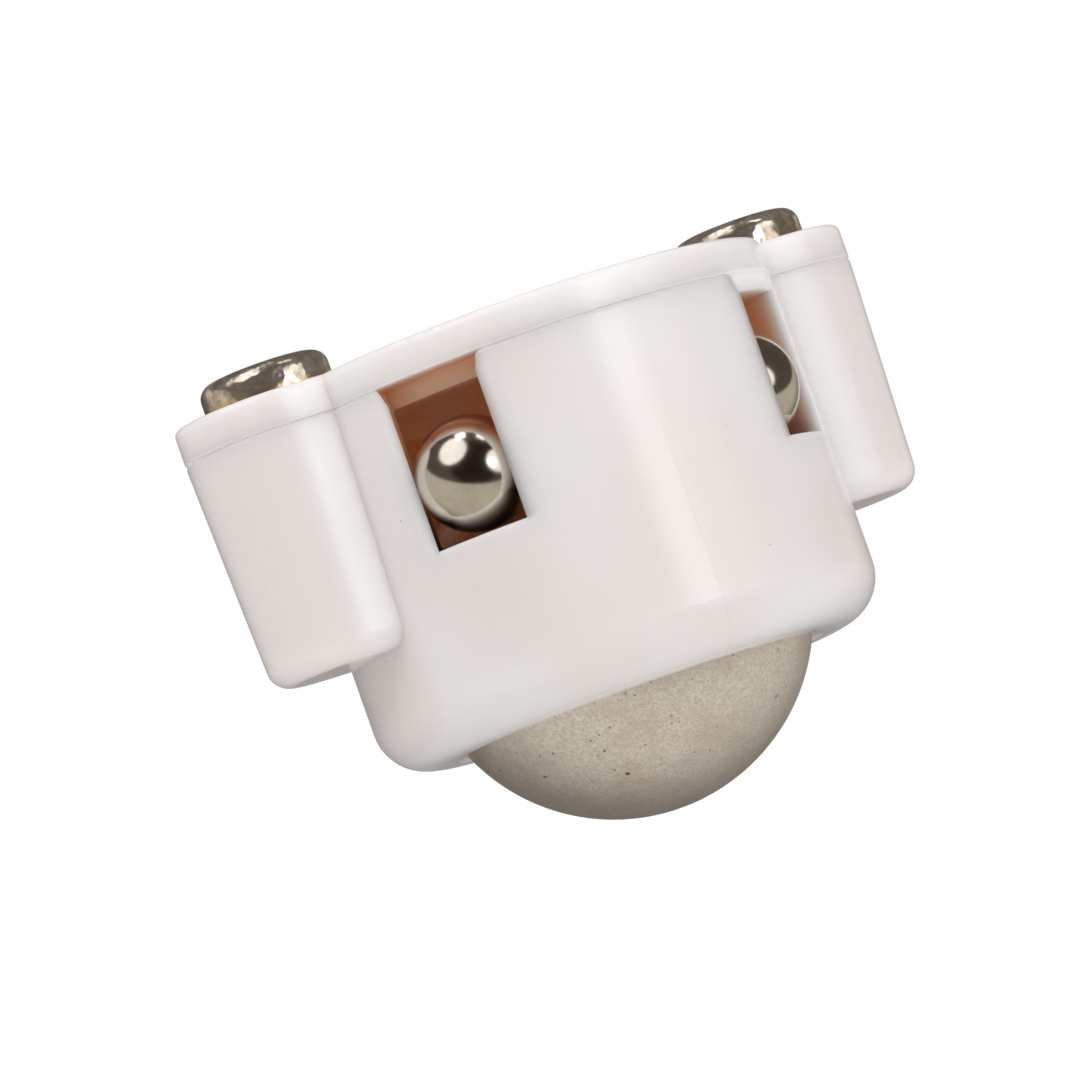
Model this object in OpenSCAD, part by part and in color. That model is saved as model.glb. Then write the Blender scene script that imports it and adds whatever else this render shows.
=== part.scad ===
// Small ball transfer unit: a steel ball carried by four loose support balls
// in a two-piece moulded housing, closed by a cap that two screws hold down.
// Origin: centre of the mounting face on top of the cap. +Z points out of that
// face, the ball hangs below it, and X runs through the two screw ears.

/* [Main ball] */
// Diameter of the main ball
ball_d = 12; // [11.6:0.1:12.6]
// How much of the ball stands out below the housing
ball_show = 3.55; // [3:0.05:4.4]
// Clearance between the ball and its seat, all round
ball_gap = 0.15; // [0.08:0.01:0.3]

/* [Housing] */
// Wall between the ball's bore and the outside
wall = 1.8; // [1.5:0.05:2.4]
// Wall round the wider chamber above the pocket floors
chamber_wall = 1.4; // [1.1:0.05:1.45]
// Height of the chamber's ledge above the pocket floors
ledge_rise = 0.2; // [0.1:0.05:0.5]
// Rounding of the housing's lower outer edge
base_round = 1.55; // [0.6:0.05:2]
// Rounding of the lip where the ball comes out
lip_round = 0.2; // [0.1:0.05:0.4]
// Rounding of the housing's upper edge, along the seam
seam_round = 0.15; // [0.05:0.05:0.3]

/* [Cap] */
// Thickness of the cap
cap_t = 1.1; // [0.8:0.05:1.6]
// Rounding of the cap's upper edge
cap_round = 0.2; // [0.1:0.05:0.5]
// Rounding of the cap's lower edge, along the seam
cap_seam_round = 0.05; // [0.03:0.01:0.2]
// How far the cap's locating plug reaches down into the chamber
plug_h = 0.6; // [0.3:0.05:0.9]
// Clearance between the plug and the chamber, all round
plug_gap = 0.1; // [0.05:0.01:0.2]
// Clearance between a lobe of the plug and the top of its pocket, all round
lobe_gap = 0.04; // [0.02:0.01:0.1]
// How far a lobe lies back from the outside of the body
lobe_set = 0.05; // [0.02:0.01:0.2]

/* [Support balls] */
// Diameter of a support ball
support_d = 3.5; // [3.2:0.1:3.9]
// Clearance between a support ball and its pocket, all round
pocket_gap = 0.25; // [0.15:0.01:0.35]
// Gap left between a support ball and the side of the pocket that it has rolled to
rest_gap = 0.07; // [0.02:0.01:0.1]
// Direction in which the loose support balls have rolled, from +X
roll_turn = 186; // [0:1:359]
// Height of the pocket floors above the main ball's centre
pocket_rise = 3.15; // [2.9:0.05:3.6]
// Gap left between a support ball and its pocket floor
floor_gap = 0.15; // [0.03:0.01:0.2]
// Room between the support balls and the cap's plug
plug_room = 0.9; // [0.5:0.05:1.4]
// Width of the window where a pocket breaks through the wall
window_w = 2.97; // [2.4:0.01:3.05]
// Lead-in of a pocket: how much its radius grows over its top, beside the plug
lead_in = 0.12; // [0.04:0.01:0.2]
// Angle between the ear axis and the nearest pocket
pocket_angle = 45; // [42:1:50]

/* [Ears] */
// Distance between the two screws
screw_pitch = 16.3; // [15.8:0.1:17.5]
// Distance from a screw's axis to the tip of its ear
ear_edge = 3.1; // [2.8:0.1:3.6]
// Width of an ear under the cap
ear_w = 5.36; // [4.8:0.02:6]
// Height of an ear below the cap
ear_h = 7.25; // [6.6:0.05:8.5]
// Draft of an ear's sides, over its whole height
ear_draft = 0.28; // [0.1:0.02:0.4]
// Rounding of an ear's foot
foot_round = 0.65; // [0.3:0.05:1]

/* [Screws] */
// Core diameter of the self-tapping thread
screw_core_d = 1.6; // [1.4:0.05:1.8]
// Outer diameter of the thread
screw_d = 2; // [1.9:0.05:2.3]
// Length of a screw under its head
screw_l = 6; // [4.5:0.1:6.5]
// Diameter of a screw head
head_d = 4; // [3.6:0.1:4.4]
// Height of a screw head
head_h = 1; // [0.95:0.05:1.5]
// Rounding of a screw head's upper edge
head_round = 0.45; // [0.25:0.05:0.47]
// Width of one arm of the cross recess
recess_w = 0.5; // [0.4:0.05:0.7]
// Length of the cross recess, tip to tip
recess_l = 2.2; // [1.6:0.1:2.4]
// Depth of the cross recess
recess_depth = 0.6; // [0.4:0.05:0.7]
// Clearance between a screw's core and its pilot hole, all round
pilot_gap = 0.05; // [0.02:0.01:0.1]
// Clearance between the thread and the cap's hole, all round
cap_hole_gap = 0.1; // [0.05:0.01:0.2]
// Free depth of the pilot hole past the screw's tip
tip_room = 0.5; // [0.2:0.1:0.8]
// Length of the tapered tip
tip_l = 0.9; // [0.5:0.1:1.4]
// Diameter of the blunt end of the tip
tip_d = 0.7; // [0.4:0.1:1]
// Turn of the left screw's recess
left_turn = 20; // [0:5:85]
// Turn of the right screw's recess
right_turn = 65; // [0:5:85]

/* [Hidden] */
$fn = 96;

plastic = [0.90, 0.87, 0.86];
satin_steel = [0.68, 0.65, 0.60];
bright_steel = [0.78, 0.78, 0.78];
nickel = [0.72, 0.70, 0.66];

// Heights, measured from the mounting face down: the support balls fill the room between the
// cap's plug and their pocket floors, and the main ball lies under them
seam_z = -cap_t;
plug_z = seam_z - plug_h;
support_z = plug_z - plug_room - support_d / 2;
floor_z = support_z - support_d / 2 - floor_gap;
ball_z = floor_z - pocket_rise;
base_z = ball_z - ball_d / 2 + ball_show;
ear_z = seam_z - ear_h;

// Radii of the housing and of the seat that holds the main ball
bore_r = ball_d / 2 + ball_gap;
body_r = bore_r + wall;
chamber_r = body_r - chamber_wall;
mouth_r = sqrt(pow(bore_r, 2) - pow(ball_z - base_z, 2));

// A pocket is a round bore, set out so far that it opens a window of the stated width
pocket_r = support_d / 2 + pocket_gap;
pocket_h = seam_z - floor_z;
pocket_axis_r = sqrt(pow(body_r, 2) - pow(window_w / 2, 2))
    - sqrt(pow(pocket_r, 2) - pow(window_w / 2, 2));
support_roll = pocket_gap - rest_gap;
front_left = 180 + pocket_angle;
front_right = 360 - pocket_angle;
back_left = 180 - pocket_angle;
back_right = pocket_angle;

// An ear is a drafted block with a round end
ear_r = ear_w / 2;
ear_axis_x = screw_pitch / 2 + ear_edge - ear_r;
foot_r = ear_r - ear_draft;
draft_angle = atan(ear_draft / ear_h);
foot_x = foot_r - foot_round * (1 / cos(draft_angle) - tan(draft_angle));
foot_z = ear_z + foot_round;
top_x = ear_r - seam_round * (1 / cos(draft_angle) + tan(draft_angle));
top_z = seam_z - seam_round;
arc_steps = 10;

pilot_r = screw_core_d / 2 + pilot_gap;
pilot_depth = screw_l - cap_t + tip_room;
cut = 0.5; // how far a cutting tool runs past the face that it opens

// Half a section with its lower and its upper outer corner rounded
module rounded_section(r, low, high, low_round, high_round) {
    translate([0, low + low_round]) square([r, high - low - low_round - high_round]);
    translate([0, low + low_round]) square([r - high_round, high - low - low_round]);
    translate([0, low]) square([r - low_round, high - low - high_round]);
    translate([r - low_round, low + low_round]) circle(low_round);
    translate([r - high_round, high - high_round]) circle(high_round);
}

// Points of an arc that ends or starts on the ear's drafted side
function arc_points(x, z, r, first, last) = [
    for (step = [0 : arc_steps])
        let (a = first + (last - first) * step / arc_steps) [x + r * cos(a), z + r * sin(a)]
];

// Half a section of an ear: arc along the seam, drafted side, arc round the foot
module ear_section() {
    polygon(concat(
        [[0, seam_z]],
        arc_points(top_x, top_z, seam_round, 90, -draft_angle),
        arc_points(foot_x, foot_z, foot_round, -draft_angle, -90),
        [[0, ear_z]]
    ));
}

// Both ears from one half section: a bar right across, with the section turned round its two ends
module both_ears() {
    translate([-ear_axis_x, 0, 0]) rotate([90, 0, 90]) linear_extrude(2 * ear_axis_x) {
        children();
        mirror([1, 0]) children();
    }
    for (turn = [0, 180]) rotate(turn) translate([ear_axis_x, 0, 0])
        rotate_extrude(angle = 180, start = -90) children();
}

module at_screws() {
    for (side = [-1, 1]) translate([side * screw_pitch / 2, 0, 0]) children();
}

// Half a section of the chamber and the ball's bore, which ends below in the round seat
module seat_section() {
    translate([0, floor_z + ledge_rise]) square([chamber_r, pocket_h - ledge_rise + cut]);
    translate([0, ball_z]) square([bore_r, pocket_rise + ledge_rise + cut]);
    intersection() {
        translate([0, ball_z]) circle(bore_r);
        translate([0, ball_z - bore_r]) square([bore_r, bore_r]);
    }
}

// Tapered top of a pocket, also used for the lobe that goes into it
module lead_cone(r, h) {
    cylinder(r1 = r, r2 = r + lead_in * h / plug_h, h = h);
}

// Everything that is hollow in the housing: chamber, bore and seat, support pockets, pilot holes
module housing_hollows() {
    rotate_extrude() seat_section();
    for (angle = [front_left, front_right, back_left, back_right])
        rotate(angle) translate([pocket_axis_r, 0, floor_z])
            cylinder(r = pocket_r, h = pocket_h);
    for (angle = [front_left, front_right, back_left, back_right])
        rotate(angle) translate([pocket_axis_r, 0, plug_z]) lead_cone(pocket_r, plug_h + cut);
    at_screws() translate([0, 0, seam_z - pilot_depth]) cylinder(r = pilot_r, h = pilot_depth + cut);
}

// Relief that takes the sharp edge off the mouth
module lip_relief() {
    translate([0, 0, base_z - cut])
        cylinder(r1 = mouth_r + lip_round + cut, r2 = mouth_r - lip_round / 2, h = cut + lip_round * 1.5);
}

module housing() {
    color(plastic) difference() {
        union() {
            rotate_extrude() rounded_section(body_r, base_z, seam_z, base_round, seam_round);
            both_ears() ear_section();
        }
        housing_hollows();
        lip_relief();
    }
}

// Plug that centres the cap in the chamber, with two opposite lobes that keep it from turning
module plug() {
    translate([0, 0, plug_z]) intersection() {
        union() {
            cylinder(r = chamber_r - plug_gap, h = plug_h + cap_t / 2);
            for (angle = [front_right, back_left])
                rotate(angle) translate([pocket_axis_r, 0, 0])
                    lead_cone(pocket_r - lobe_gap, plug_h + cap_t / 2);
        }
        cylinder(r = body_r - lobe_set, h = plug_h + cap_t);
    }
}

module cap_plate() {
    color(plastic) difference() {
        union() {
            rotate_extrude() rounded_section(body_r, seam_z, 0, cap_seam_round, cap_round);
            both_ears() rounded_section(ear_r, seam_z, 0, cap_seam_round, cap_round);
            plug();
        }
        at_screws() translate([0, 0, seam_z - cut])
            cylinder(r = screw_d / 2 + cap_hole_gap, h = cap_t + 2 * cut);
    }
}

module main_ball() {
    color(satin_steel) translate([0, 0, ball_z]) sphere(d = ball_d);
}

module support_ball(angle) {
    color(bright_steel)
        translate([support_roll * cos(roll_turn), support_roll * sin(roll_turn), support_z])
            rotate(angle) translate([pocket_axis_r, 0, 0]) sphere(d = support_d);
}

// Half a section of a pan head
module head_section() {
    square([head_d / 2, head_h - head_round]);
    square([head_d / 2 - head_round, head_h]);
    translate([head_d / 2 - head_round, head_h - head_round]) circle(head_round);
}

// Self-tapping pan-head screw with a cross recess, standing on the cap
module screw() {
    color(nickel) difference() {
        union() {
            rotate_extrude() head_section();
            translate([0, 0, tip_l - screw_l])
                cylinder(d = screw_core_d, h = screw_l - tip_l + head_h - recess_depth);
            translate([0, 0, -screw_l]) cylinder(d1 = tip_d, d2 = screw_core_d, h = tip_l);
        }
        for (turn = [0, 90])
            rotate(turn) translate([-recess_l / 2, -recess_w / 2, head_h - recess_depth])
                cube([recess_l, recess_w, recess_depth + cut]);
    }
}

module screw_left() {
    translate([-screw_pitch / 2, 0, 0]) rotate(left_turn) screw();
}

module screw_right() {
    translate([screw_pitch / 2, 0, 0]) rotate(right_turn) screw();
}

housing();
cap_plate();
main_ball();
support_ball(front_left);  // support_ball_front_left
support_ball(front_right);  // support_ball_front_right
support_ball(back_left);  // support_ball_back_left
support_ball(back_right);  // support_ball_back_right
screw_left();
screw_right();
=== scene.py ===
import math

import bpy
from mathutils import Matrix, Vector


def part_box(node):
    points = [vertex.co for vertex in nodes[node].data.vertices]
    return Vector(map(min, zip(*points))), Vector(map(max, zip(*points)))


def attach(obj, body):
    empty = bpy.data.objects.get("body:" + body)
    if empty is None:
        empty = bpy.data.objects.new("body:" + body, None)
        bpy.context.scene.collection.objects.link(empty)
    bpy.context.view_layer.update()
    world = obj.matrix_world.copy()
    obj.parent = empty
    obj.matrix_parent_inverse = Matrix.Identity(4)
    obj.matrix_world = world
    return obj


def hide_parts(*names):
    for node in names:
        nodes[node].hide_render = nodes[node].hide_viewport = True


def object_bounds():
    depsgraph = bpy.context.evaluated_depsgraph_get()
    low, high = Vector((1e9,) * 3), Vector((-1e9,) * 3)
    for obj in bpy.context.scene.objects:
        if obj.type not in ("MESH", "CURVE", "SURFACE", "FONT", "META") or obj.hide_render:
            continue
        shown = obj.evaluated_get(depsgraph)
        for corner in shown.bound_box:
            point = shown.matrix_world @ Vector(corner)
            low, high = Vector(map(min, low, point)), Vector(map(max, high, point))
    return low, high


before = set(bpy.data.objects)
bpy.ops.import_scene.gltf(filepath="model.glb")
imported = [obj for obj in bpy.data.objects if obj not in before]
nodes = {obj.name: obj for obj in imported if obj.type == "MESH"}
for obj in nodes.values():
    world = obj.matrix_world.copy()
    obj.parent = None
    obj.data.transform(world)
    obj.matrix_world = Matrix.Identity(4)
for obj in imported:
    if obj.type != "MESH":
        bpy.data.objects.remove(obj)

mm = 0.001
cadLow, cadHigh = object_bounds()
cadMiddle = (cadLow + cadHigh) / 2
print("frame loaded,", len(nodes), "CAD nodes")


# Camera

shot = {
    "azimuth": -24.0,       # degrees round the unit, from its front
    "elevation": -4.59,     # slightly from below
    "roll": 19.5,
    "distance": 260 * mm,
    "lens": 288.27,
    "aside": -1.4 * mm,     # aim, from the middle of the unit
    "above": 0.785 * mm,
}


def shotAxes():
    azimuth, elevation, roll = (math.radians(shot[k]) for k in ("azimuth", "elevation", "roll"))
    back = Vector((math.sin(azimuth) * math.cos(elevation),
                   -math.cos(azimuth) * math.cos(elevation),
                   math.sin(elevation)))
    level = Vector((math.cos(azimuth), math.sin(azimuth), 0))
    upright = back.cross(level)
    right = level * math.cos(roll) - upright * math.sin(roll)
    up = level * math.sin(roll) + upright * math.cos(roll)
    return right, up, back


def inStudio(right, up, back):
    # a direction given as the camera sees it, turned into the unit's own frame
    axes = shotAxes()
    return (axes[0] * right + axes[1] * up + axes[2] * back).normalized()


def setCamera():
    right, up, back = shotAxes()
    aim = cadMiddle + Vector((shot["aside"], 0, shot["above"]))
    bpy.ops.object.camera_add()
    camera = bpy.context.object
    camera.name = "camera"
    turn = Matrix((right, up, back)).transposed().to_4x4()
    camera.matrix_world = Matrix.Translation(aim + back * shot["distance"]) @ turn
    camera.data.lens = shot["lens"]
    camera.data.clip_start = 1 * mm
    camera.data.clip_end = 20
    bpy.context.scene.camera = camera


setCamera()
print("camera set")


# Shader expressions

class Wire:
    # one output in a node tree; without a socket it only says which tree
    def __init__(self, tree, socket=None):
        self.tree = tree
        self.socket = socket

    def add(self, kind, settings, inputs, output=0):
        # any node: its settings, then the values or links of its sockets
        node = self.tree.nodes.new(kind)
        for name, value in settings.items():
            setattr(node, name, value)
        for name, value in inputs.items():
            if isinstance(value, Wire):
                self.tree.links.new(value.socket, node.inputs[name])
            else:
                node.inputs[name].default_value = value
        return Wire(self.tree, node.outputs[output])

    def other(self, output):
        # another output of the same node
        return Wire(self.tree, self.socket.node.outputs[output])

    def maths(self, operation, *others):
        return self.add("ShaderNodeMath", {"operation": operation}, dict(enumerate((self, *others))))

    def vector(self, operation, *others, output=0):
        return self.add("ShaderNodeVectorMath", {"operation": operation},
                        dict(enumerate((self, *others))), output)

    def __add__(self, other):
        return self.maths("ADD", other)

    def __sub__(self, other):
        return self.maths("SUBTRACT", other)

    def __rsub__(self, other):
        return self * -1 + other

    def __mul__(self, other):
        return self.maths("MULTIPLY", other)

    __radd__ = __add__
    __rmul__ = __mul__

    def step(self, start, end, low=0.0, high=1.0):
        # goes smoothly from low at start to high at end
        return self.add("ShaderNodeMapRange", {"interpolation_type": "SMOOTHSTEP"},
                        {"Value": self, "From Min": start, "From Max": end, "To Min": low, "To Max": high})

    def blend(self, under, over):
        # colour under where this mask is 0, over where it is 1
        colours = [c if isinstance(c, Wire) else (*c, 1) for c in (under, over)]
        return self.add("ShaderNodeMix", {"data_type": "RGBA"},
                        {0: self, 6: colours[0], 7: colours[1]}, 2)

    def noise(self, scale, detail=3.0, roughness=0.55):
        return self.add("ShaderNodeTexNoise", {}, {"Vector": self, "Scale": scale,
                                                   "Detail": detail, "Roughness": roughness})

    def cells(self, scale):
        return self.add("ShaderNodeTexVoronoi", {}, {"Vector": self, "Scale": scale})

    def axis(self, index):
        return self.add("ShaderNodeSeparateXYZ", {}, {0: self}, index)

    def length(self):
        return self.vector("LENGTH", output=1)

    def along(self, direction):
        return self.vector("DOT_PRODUCT", direction, output=1)

    def spread(self, size):
        # a number as an equal shift on all three axes
        return self.add("ShaderNodeCombineXYZ", {}, dict.fromkeys((0, 1, 2), self * size))

    def stretched(self, x, y, z):
        return self.vector("MULTIPLY", (x, y, z))


def newFinish(name, metal=0.0, **fixed):
    # a material, its shader, and the place on the surface in millimetres
    finish = bpy.data.materials.new(name)
    finish.use_nodes = True
    tree = finish.node_tree
    shader = tree.nodes["Principled BSDF"]
    shader.inputs["Metallic"].default_value = metal
    for socket, value in fixed.items():
        shader.inputs[socket.replace("_", " ")].default_value = value
    place = Wire(tree).add("ShaderNodeTexCoord", {}, {}, "Object")
    return finish, shader, place.stretched(1 / mm, 1 / mm, 1 / mm)


def connect(node, **wires):
    for socket, wire in wires.items():
        wire.tree.links.new(wire.socket, node.inputs[socket.replace("_", " ")])


def bump(height, depth, normal=None):
    inputs = {"Height": height, "Distance": depth, "Strength": 1.0}
    if normal is not None:
        inputs["Normal"] = normal
    return height.add("ShaderNodeBump", {}, inputs)


def shade(r, g, b):
    # a display colour, 0 to 255, as the linear light that shaders use
    return tuple(c / 12.92 if c <= 0.04045 else ((c + 0.055) / 1.055) ** 2.4
                 for c in (v / 255 for v in (r, g, b)))


# Finishes

plastic = {  # the masks' places are in millimetres: where each starts, and where it is full
    "colour": shade(232, 228, 226),
    "warm": shade(229, 222, 219),       # in broad soft patches and on the ears
    "patches": (0.35, 0.7),
    "ear": (7.3, 7.6),
    "paintedEarHighlight": shade(236, 233, 232),       # painted highlight down each ear's flat face, next to the body
    "paintedEarHighlightNear": (7.4, 7.9),
    "paintedEarHighlightFar": (9.4, 8.3),
    "paintedEarHighlightFoot": (-9.0, -7.5),
    "lip": shade(246, 244, 243),        # painted light: lighter colour on the thin walls beside the windows, against the shade there
    "lipGlow": (0.045, 0.044, 0.043),
    "lipSide": (2.1, 1.5),
    "lipDepth": (7.6, 7.9),
    "lipFoot": (-6.5, -6.1),
    "lipTop": (-1.05, -1.3),
    "deep": shade(222, 170, 128),       # painted shade: tan on the inside walls, for the shade in the pockets
    "paintedShadeLow": shade(66, 44, 37),       # and darker still at their foot, painted shade
    "paintedGlow": (0.048, 0.019, 0.008),      # painted light: a glow on the inside walls, for light that comes through the wall
    "insideDepth": (7.9, 6.9),
    "insideFoot": (-6.6, -6.2),
    "insideTop": (-1.0, -1.08),
    "darkFoot": (-4.4, -6.0),
    "under": shade(226, 192, 164),      # painted shade: a lighter tan on the underside of the cap
    "underFrom": (-1.8, -1.7),
    "seamAt": -1.1,
    # painted light: glow that lightens the seam's shade
    "seamPaintedGlow": (0.07, 0.067, 0.065),
    "line": shade(196, 184, 178),       # the mould's parting line
    "lineStrength": 0.12,
    "lineWidth": 0.05,
    "lineTop": (-4.4, -5.2),
    "speck": shade(120, 98, 86),
    "speckShape": (1.1, 0.035, 0.35),   # spacing, size and share of the specks
    "gateRadius": 0.62,                 # round mark where the cap's mould was filled
    "rough": (0.19, 0.23),
    "spread": (1.0, 1.0, 0.98),         # how far red, green and blue light travel in the wall
    "spreadDepth": 1.3 * mm,
}


def specks(place, scale, size, share):
    # a mask of small round dots: their spacing, their size and the share of cells that have one
    cell = place.cells(scale)
    chosen = cell.other("Color").axis(0).step(share, share * 0.98)
    return chosen * cell.step(size, size * 0.5)


def besideWindows(across, deep):
    # how far a point is from the nearer of the two planes through opposite windows
    oneWay = (across - deep).maths("ABSOLUTE")
    otherWay = (across + deep).maths("ABSOLUTE")
    return oneWay.maths("MINIMUM", otherWay) * 0.7071


def plasticFinish(name):
    finish, shader, place = newFinish(name, IOR=1.46, Subsurface_Weight=1.0, Emission_Strength=1.0,
                                      Subsurface_Radius=plastic["spread"],
                                      Subsurface_Scale=plastic["spreadDepth"])
    reach = place.stretched(1, 1, 0).length()   # from the unit's middle line
    height = place.axis(2)
    across = place.axis(0)
    aside = across.maths("ABSOLUTE")

    patches = place.noise(0.16, 1).step(*plastic["patches"])
    colour = patches.maths("MAXIMUM", aside.step(*plastic["ear"])).blend(plastic["colour"], plastic["warm"])
    # painted highlight: a lighter band on each ear's flat face
    paintedEarHighlight = aside.step(*plastic["paintedEarHighlightNear"]) * aside.step(*plastic["paintedEarHighlightFar"])
    colour = (paintedEarHighlight * height.step(*plastic["paintedEarHighlightFoot"])).blend(colour, plastic["paintedEarHighlight"])

    # painted light: the walls beside the windows are lightened against their shade
    lip = besideWindows(across, place.axis(1)).step(*plastic["lipSide"]) * height.step(*plastic["lipFoot"])
    lip = lip * height.step(*plastic["lipTop"]) * reach.step(*plastic["lipDepth"])
    colour = lip.blend(colour, plastic["lip"])
    # painted shade: inside the pockets the colour turns tan, brown and darker at the foot, for the shade
    # there
    inside = reach.step(*plastic["insideDepth"]) * height.step(*plastic["insideFoot"])
    inside = inside * height.step(*plastic["insideTop"])
    low = height.step(*plastic["darkFoot"]) * across.step(1.5, -1.5, 0.3, 1.0)
    deep = low.blend(plastic["deep"], plastic["paintedShadeLow"])
    deep = height.step(*plastic["underFrom"]).blend(deep, plastic["under"])
    colour = inside.blend(colour, deep)

    line = aside.step(plastic["lineWidth"], 0.0) * reach.step(6.6, 6.8) * height.step(*plastic["lineTop"])
    colour = (line * plastic["lineStrength"]).blend(colour, plastic["line"])
    dots = specks(place, *plastic["speckShape"])
    colour = (dots * 0.6).blend(colour, plastic["speck"])

    gate = reach.step(plastic["gateRadius"], plastic["gateRadius"] - 0.12) * height.step(-0.05, -0.02)
    gate = gate * (1 - 0.5 * reach.step(0.3, 0.2))
    ridge = bump(line - gate * 8.0, 0.003 * mm)
    grain = bump(place.noise(9, 2) - dots, 0.004 * mm, normal=ridge)

    seamAt = plastic["seamAt"]
    seam = height.step(seamAt - 0.16, seamAt - 0.04) * height.step(seamAt + 0.10, seamAt + 0.02)
    # painted light: glow on the inside walls
    paintedGlow = (inside * height.step(-5.6, -2.4)).blend((0, 0, 0), plastic["paintedGlow"])
    # painted light: a faint glow on the walls beside the windows
    paintedGlow = lip.blend(paintedGlow, plastic["lipGlow"])
    # painted light: a faint glow along the seam lightens its shade
    paintedGlow = (seam * reach.step(7.2, 7.4)).blend(paintedGlow, plastic["seamPaintedGlow"])
    connect(shader, Base_Color=colour, Emission_Color=paintedGlow, Normal=grain,
            Roughness=place.noise(1.5, 3).step(0.3, 0.7, *plastic["rough"]))
    return finish


steel = {
    "light": shade(254, 249, 242),
    "dark": shade(218, 208, 197),
    "stain": shade(222, 202, 182),
    "pit": shade(96, 80, 70),
    "coarse": (1.6, 0.15, 0.3),     # spacing, size and share of the pits
    "fine": (4.0, 0.2, 0.3),
    "rough": (0.46, 0.38),
    "metal": 0.85,
}


def steelFinish(name):
    finish, shader, place = newFinish(name, metal=steel["metal"], IOR=1.6)
    mottle = place.noise(9.5, 5, 0.75)
    cloud = place.noise(0.9, 4, 0.6)
    colour = mottle.step(0.3, 0.7).blend(steel["dark"], steel["light"])
    colour = (cloud.step(0.45, 0.7) * 0.5).blend(colour, steel["dark"])
    colour = (place.stretched(1, 1, 1.4).noise(0.6, 3).step(0.5, 0.75) * 0.5).blend(colour, steel["stain"])
    warped = place.vector("ADD", place.noise(5, 2).spread(0.25))
    pits = specks(warped, *steel["coarse"]).maths("MAXIMUM", specks(warped, *steel["fine"]) * 0.7)
    pits = pits * place.noise(0.8, 2).step(0.35, 0.6, 0.35, 0.9)
    colour = pits.blend(colour, steel["pit"])
    connect(shader, Base_Color=colour,
            Roughness=mottle.step(0.3, 0.7, *steel["rough"]),
            Normal=bump(mottle - pits * 2.0, 0.008 * mm))
    return finish


mirror = {
    "light": shade(212, 205, 195),
    "dull": shade(198, 190, 178),
    "paintedPocketShade": shade(196, 150, 114),   # painted shade: tan on the side towards the main ball, for the shaded pocket walls it mirrors
    "paintedPocketShadeFrom": (7.75, 7.0),        # mm from the unit's middle line
    "rough": (0.13, 0.17),
}


def mirrorFinish(name):
    finish, shader, place = newFinish(name, metal=1.0)
    cloud = place.noise(1.2, 3).step(0.3, 0.7)
    colour = cloud.blend(mirror["light"], mirror["dull"])
    # painted shade on the side towards the main ball, which is also made a little rougher
    paintedPocketShade = place.stretched(1, 1, 0).length().step(*mirror["paintedPocketShadeFrom"])
    colour = (paintedPocketShade * 0.75).blend(colour, mirror["paintedPocketShade"])
    connect(shader, Base_Color=colour, Roughness=cloud.step(0, 1, *mirror["rough"]) + paintedPocketShade * 0.08)
    return finish


nickel = {
    "light": shade(226, 218, 205),
    "dull": shade(176, 160, 142),
    "tan": shade(214, 184, 150),
    "foot": (0.34, 0.08),           # mm above the cap, where the head turns tan
    "rough": (0.12, 0.27),
    "dent": 0.09 * mm,
    "metal": 0.85,
}


def nickelFinish(name):
    finish, shader, place = newFinish(name, metal=nickel["metal"], IOR=1.6)
    cloud = place.noise(2.0, 4, 0.65).step(0.35, 0.65)
    colour = cloud.blend(nickel["light"], nickel["dull"])
    foot = place.axis(2).step(*nickel["foot"]) * place.noise(1.1, 2).step(0.3, 0.6, 0.3, 1.0)
    colour = foot.blend(colour, nickel["tan"])
    connect(shader, Base_Color=colour,
            Roughness=cloud.step(0, 1, *nickel["rough"]),
            Normal=bump(place.noise(1.3, 2, 0.5), nickel["dent"]))
    return finish


finishes = {
    "plastic": plasticFinish("whitePlastic"),
    "satin_steel": steelFinish("satinSteel"),
    "bright_steel": mirrorFinish("brightSteel"),
    "nickel": nickelFinish("nickelPlate"),
}
print("finishes made")


def dress(piece, slot, body=None, *replaced):
    # gives a piece its finish, its body and the CAD nodes that it stands for
    piece.data.materials.clear()
    piece.data.materials.append(finishes[slot])
    if body:
        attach(piece, body)
    if replaced:
        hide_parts(*replaced)


def fresh():
    if bpy.context.object and bpy.context.object.mode == "EDIT":
        bpy.ops.object.mode_set(mode="OBJECT")
    bpy.ops.object.select_all(action="DESELECT")


def settle(piece):
    # leaves the piece's place in its mesh
    fresh()
    piece.select_set(True)
    bpy.context.view_layer.objects.active = piece
    bpy.ops.object.transform_apply(location=True, rotation=True, scale=True)


# Balls

balls = {
    "cuts": 31,         # cuts across each side of the cube that a ball is made from
    "smallCuts": 23,
}


def ballAt(name, node, cuts):
    low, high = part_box(node)
    fresh()
    bpy.ops.mesh.primitive_cube_add(size=1)
    ball = bpy.context.object
    ball.name = name
    bpy.ops.object.mode_set(mode="EDIT")
    bpy.ops.mesh.select_all(action="SELECT")
    bpy.ops.mesh.subdivide(number_cuts=cuts)
    bpy.ops.transform.tosphere(value=1.0)
    bpy.ops.object.mode_set(mode="OBJECT")
    ball.scale = Vector((1, 1, 1)) * (high.z - low.z) / ball.dimensions.z
    ball.location = (low + high) / 2
    settle(ball)
    bpy.ops.object.shade_smooth()
    return ball


dress(ballAt("mainBall", "main_ball", balls["cuts"]), "satin_steel", "main_ball", "main_ball")
for corner in ("front_left", "front_right", "back_left", "back_right"):
    node = "support_ball_" + corner
    name = "supportBall" + corner.title().replace("_", "")
    dress(ballAt(name, node, balls["smallCuts"]), "bright_steel", node, node)
print("balls made")


# Housing and cap, as the CAD has them

for name in ("housing", "cap_plate"):
    dress(nodes[name], "plastic")
print("housing and cap dressed")


# Screws

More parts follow.
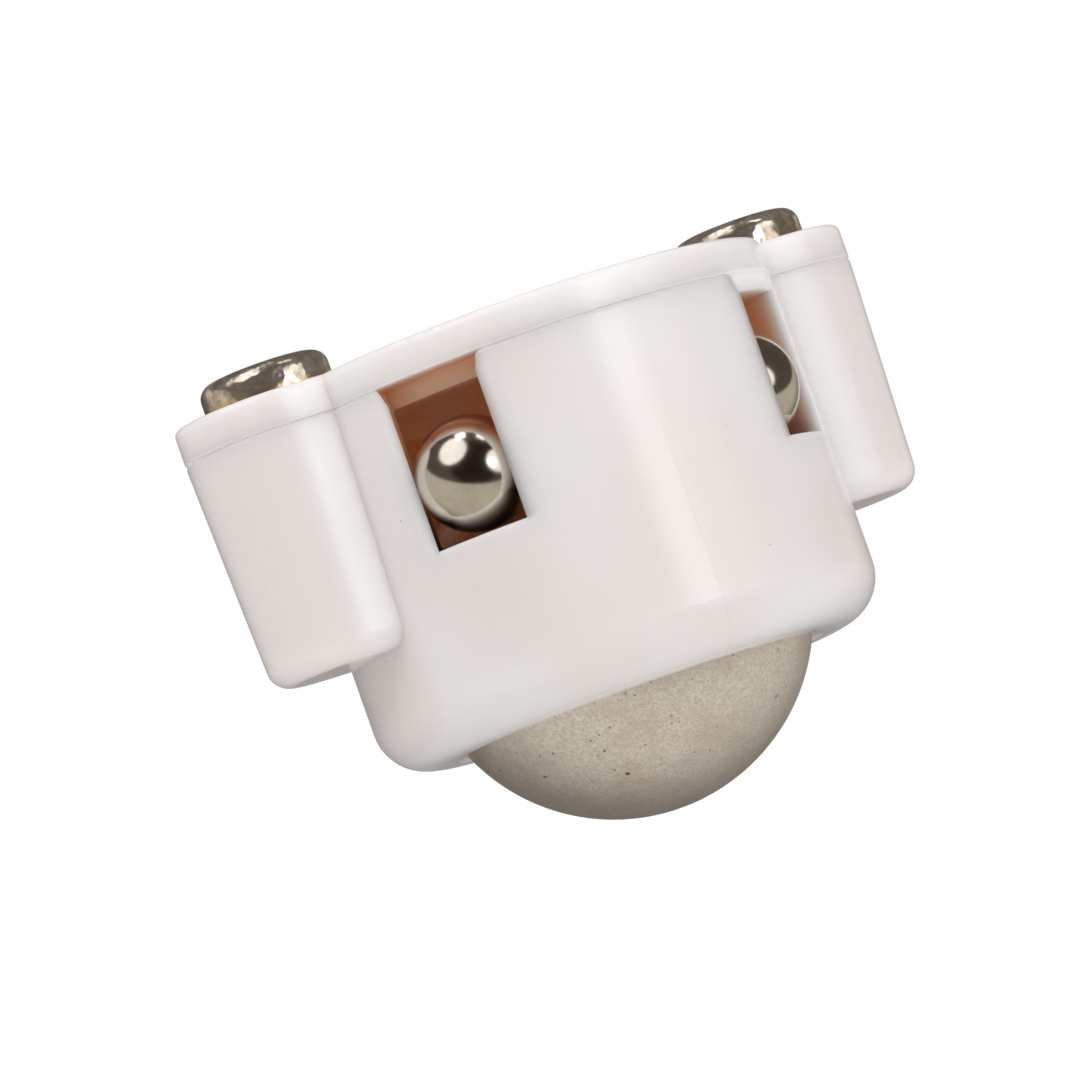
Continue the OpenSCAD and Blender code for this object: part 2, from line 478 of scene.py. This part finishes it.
screw = {
    "headRadius": 2.0 * mm,
    "headHeight": 1.0 * mm,
    "headRound": 0.45 * mm,
    "coreRadius": 0.8 * mm,
    "tipRadius": 0.3 * mm,
    "tipLength": 0.9 * mm,
    "length": 6.0 * mm,
    "recessLength": 2.3 * mm,
    "recessWidth": 0.52 * mm,
    "recessDepth": 0.62 * mm,
    "recessFloor": (0.62, 0.74),    # the recess narrows to this share of its length and width
    "pitch": 0.62 * mm,
    "threadHeight": 0.2 * mm,
    "threadTurns": 7,
    "sides": 72,
    "leftTurn": 20,                 # degrees that each recess is turned
    "rightTurn": 65,
}


def selectFaces(test):
    bpy.ops.object.mode_set(mode="EDIT")
    bpy.ops.mesh.select_mode(type="FACE")
    bpy.ops.mesh.select_all(action="DESELECT")
    bpy.ops.object.mode_set(mode="OBJECT")
    for face in bpy.context.object.data.polygons:
        face.select = test(face.center, face.normal)
    bpy.ops.object.mode_set(mode="EDIT")


def selectEdges(test):
    bpy.ops.object.mode_set(mode="EDIT")
    bpy.ops.mesh.select_mode(type="EDGE")
    bpy.ops.mesh.select_all(action="DESELECT")
    bpy.ops.object.mode_set(mode="OBJECT")
    mesh = bpy.context.object.data
    for edge in mesh.edges:
        ends = [mesh.vertices[i].co for i in edge.vertices]
        edge.select = test(ends[0], ends[1])
    bpy.ops.object.mode_set(mode="EDIT")


def panHead():
    # head, core and blunt tip in one closed form, standing on the cap's face
    fresh()
    high = screw["headHeight"]
    bpy.ops.mesh.primitive_cylinder_add(vertices=screw["sides"], radius=screw["headRadius"],
                                        depth=high, location=(0, 0, high / 2))
    head = bpy.context.object
    settle(head)
    selectEdges(lambda a, b: min(a.z, b.z) > 0.99 * high)
    bpy.ops.mesh.bevel(offset=screw["headRound"], segments=9, profile=0.5, affect="EDGES")
    selectFaces(lambda middle, normal: normal.z < -0.9)
    bpy.ops.mesh.inset(thickness=screw["headRadius"] - screw["coreRadius"])
    bpy.ops.mesh.extrude_region_move(
        TRANSFORM_OT_translate={"value": (0, 0, screw["tipLength"] - screw["length"])})
    bpy.ops.mesh.extrude_region_move(TRANSFORM_OT_translate={"value": (0, 0, -screw["tipLength"])})
    shrink = screw["tipRadius"] / screw["coreRadius"]
    bpy.ops.transform.resize(value=(shrink, shrink, 1))
    bpy.ops.object.mode_set(mode="OBJECT")
    return head


def recessCutter(turn):
    # one arm of the cross, narrower towards its floor
    fresh()
    bpy.ops.mesh.primitive_cube_add(size=1)
    arm = bpy.context.object
    deep = screw["recessDepth"]
    arm.dimensions = (screw["recessLength"], screw["recessWidth"], 2 * deep)
    arm.location = (0, 0, screw["headHeight"])
    settle(arm)
    selectFaces(lambda middle, normal: normal.z < -0.9)
    bpy.ops.transform.resize(value=(*screw["recessFloor"], 1), center_override=(0, 0, 0))
    bpy.ops.object.mode_set(mode="OBJECT")
    arm.rotation_euler = (0, 0, turn)
    settle(arm)
    return arm


def cutAway(piece, cutter):
    bpy.context.view_layer.objects.active = piece
    bpy.ops.object.modifier_add(type="BOOLEAN")
    cut = piece.modifiers[-1]
    cut.operation = "DIFFERENCE"
    cut.solver = "EXACT"
    cut.object = cutter
    bpy.ops.object.modifier_apply(modifier=cut.name)
    bpy.data.objects.remove(cutter)


def threadRidge():
    # a three-cornered ridge wound round the core, its foot sunk into it
    fresh()
    bpy.ops.mesh.primitive_circle_add(vertices=3, radius=screw["threadHeight"])
    ridge = bpy.context.object
    ridge.rotation_euler = (-math.pi / 2, -math.pi / 2, 0)
    ridge.location = (screw["coreRadius"], 0, screw["tipLength"] - screw["length"])
    settle(ridge)
    bpy.ops.object.modifier_add(type="SCREW")
    wound = ridge.modifiers[-1]
    wound.axis = "Z"
    wound.screw_offset = screw["pitch"]
    wound.iterations = screw["threadTurns"]
    wound.steps = wound.render_steps = 36
    bpy.ops.object.modifier_apply(modifier=wound.name)
    bpy.ops.object.mode_set(mode="EDIT")
    bpy.ops.mesh.select_mode(type="EDGE")
    bpy.ops.mesh.select_all(action="SELECT")
    bpy.ops.mesh.remove_doubles(threshold=0.001 * mm)
    bpy.ops.mesh.select_all(action="DESELECT")
    bpy.ops.mesh.select_non_manifold()
    bpy.ops.mesh.fill_holes(sides=4)
    bpy.ops.mesh.select_all(action="SELECT")
    bpy.ops.mesh.normals_make_consistent(inside=False)
    bpy.ops.object.mode_set(mode="OBJECT")
    return ridge


def screwModel():
    head = panHead()
    for turn in (0, math.pi / 2):
        cutAway(head, recessCutter(turn))
    ridge = threadRidge()
    fresh()
    ridge.select_set(True)
    head.select_set(True)
    bpy.context.view_layer.objects.active = head
    bpy.ops.object.join()
    bpy.ops.object.shade_smooth_by_angle(angle=math.radians(32))
    return head


def placeScrew(model, name, node, turn):
    low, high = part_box(node)
    fresh()
    model.select_set(True)
    bpy.context.view_layer.objects.active = model
    bpy.ops.object.duplicate()
    copy = bpy.context.object
    copy.name = name
    copy.rotation_euler = (0, 0, math.radians(turn))
    copy.location = ((low.x + high.x) / 2, (low.y + high.y) / 2, 0)
    settle(copy)
    dress(copy, "nickel", "housing_body", node)


screwPattern = screwModel()
placeScrew(screwPattern, "screwLeft", "screw_left", screw["leftTurn"])
placeScrew(screwPattern, "screwRight", "screw_right", screw["rightTurn"])
bpy.data.objects.remove(screwPattern)
print("screws made")


# Studio

studio = {
    "ambient": 0.665,               # even light from all round
    "bounce": 0.90,                 # and from below
    "room": shade(92, 82, 75),      # what shiny metal sees above the table's far edge
    "roomDeep": shade(44, 31, 28),
    "deepAt": (0.05, 0.35, 0.93),   # directions as the camera sees them: right, up, back
    "far": shade(58, 48, 43),
    "farAt": (-0.1, -0.45, -0.89),
    "table": shade(206, 199, 186),
    "tableTilt": 20.7,
    "floorSize": 2.0,
    "floorColour": (0.8, 0.8, 0.8),
    "floorLift": (0.3, 0.6),        # white added for the camera, near the unit and away from it
    "liftFrom": (0.12, 0.3),        # metres
    "lampReach": 350 * mm,
}
lamps = {  # direction as the camera sees it, shape, half angle in degrees, radiance
    "lampLeft": ((-0.603, 0.637, 0.481), "DISK", 25, 1.55),
    "lampRight": ((0.70, 0.39, 0.60), "DISK", 20, 1.4),
    "lampRightCore": ((0.569, 0.353, 0.743), "DISK", 8.5, 3.1),
    "lampTopLeft": ((-0.331, 0.934, 0.134), "SQUARE", 7, 2.6),
    "lampTopRight": ((0.216, 0.957, 0.192), "SQUARE", 7, 2.6),
}


def addLamp(name, direction, shape, halfAngle, radiance):
    aside = inStudio(*direction)
    fresh()
    bpy.ops.object.light_add(type="AREA", location=cadMiddle + aside * studio["lampReach"])
    lamp = bpy.context.object
    lamp.name = name
    lamp.rotation_mode = "QUATERNION"
    lamp.rotation_quaternion = aside.to_track_quat("Z", "Y")
    half = studio["lampReach"] * math.tan(math.radians(halfAngle))
    lamp.data.shape = shape
    lamp.data.size = 2 * half
    area = math.pi * half ** 2 if shape == "DISK" else 4 * half ** 2
    lamp.data.energy = radiance * math.pi * area
    lamp.visible_camera = False


def lightWorld():
    world = bpy.data.worlds.new("studio")
    bpy.context.scene.world = world
    world.use_nodes = True
    world.cycles.sampling_method = "NONE"
    tree = world.node_tree
    seen = Wire(tree).add("ShaderNodeLightPath", {}, {}, "Is Camera Ray")
    glossy = seen.other("Is Glossy Ray")
    through = seen.other("Is Transmission Ray")
    view = Wire(tree).add("ShaderNodeTexCoord", {}, {}, "Generated")

    # what shiny surfaces see: a dim room over a pale table
    tilt = math.radians(studio["tableTilt"])
    overTable = view.along(inStudio(0, math.cos(tilt), math.sin(tilt))).step(-0.03, 0.03)
    room = view.along(inStudio(*studio["deepAt"])).step(0.55, 0.8).blend(studio["room"], studio["roomDeep"])
    mirrored = overTable.blend(studio["table"], room)
    mirrored = view.along(inStudio(*studio["farAt"])).step(0.35, 0.95).blend(mirrored, studio["far"])

    # white for the camera, and plain soft light for all that isn't shiny
    colour = glossy.blend((1, 1, 1), mirrored)
    low = view.along((0, 0, -1)).step(-0.1, 0.7)
    soft = low.blend((studio["ambient"],) * 3, (studio["bounce"],) * 3)
    isSoft = (1 - seen - glossy - through).maths("MAXIMUM", 0)
    connect(tree.nodes["Background"], Color=isSoft.blend(colour, soft))


def layFloor():
    fresh()
    bpy.ops.mesh.primitive_plane_add(size=studio["floorSize"], location=(0, 0, cadLow.z))
    floor = bpy.context.object
    floor.name = "floor"
    finish = bpy.data.materials.new("paleFloor")
    finish.use_nodes = True
    tree = finish.node_tree
    tree.nodes.remove(tree.nodes["Principled BSDF"])
    start = Wire(tree)
    seen = start.add("ShaderNodeLightPath", {}, {}, "Is Camera Ray")
    below = start.add("ShaderNodeNewGeometry", {}, {}, "Backfacing")
    away = start.add("ShaderNodeTexCoord", {}, {}, "Object").length()
    lift = seen * away.step(*studio["liftFrom"], *studio["floorLift"])
    matt = start.add("ShaderNodeBsdfDiffuse", {}, {"Color": (*studio["floorColour"], 1)})
    lift = start.add("ShaderNodeEmission", {}, {"Color": (1, 1, 1, 1), "Strength": lift})
    clear = start.add("ShaderNodeBsdfTransparent", {}, {"Color": (1, 1, 1, 1)})
    solid = start.add("ShaderNodeAddShader", {}, {0: matt, 1: lift})
    hidden = seen * below + seen.other("Is Diffuse Ray")    # see-through from below and to soft light
    surface = start.add("ShaderNodeMixShader", {}, {0: hidden, 1: solid, 2: clear})
    connect(tree.nodes["Material Output"], Surface=surface)
    floor.data.materials.append(finish)
    floor.visible_glossy = False


for name, values in lamps.items():
    addLamp(name, *values)
lightWorld()
layFloor()
bpy.context.scene.view_settings.view_transform = "Standard"
print("studio lit")
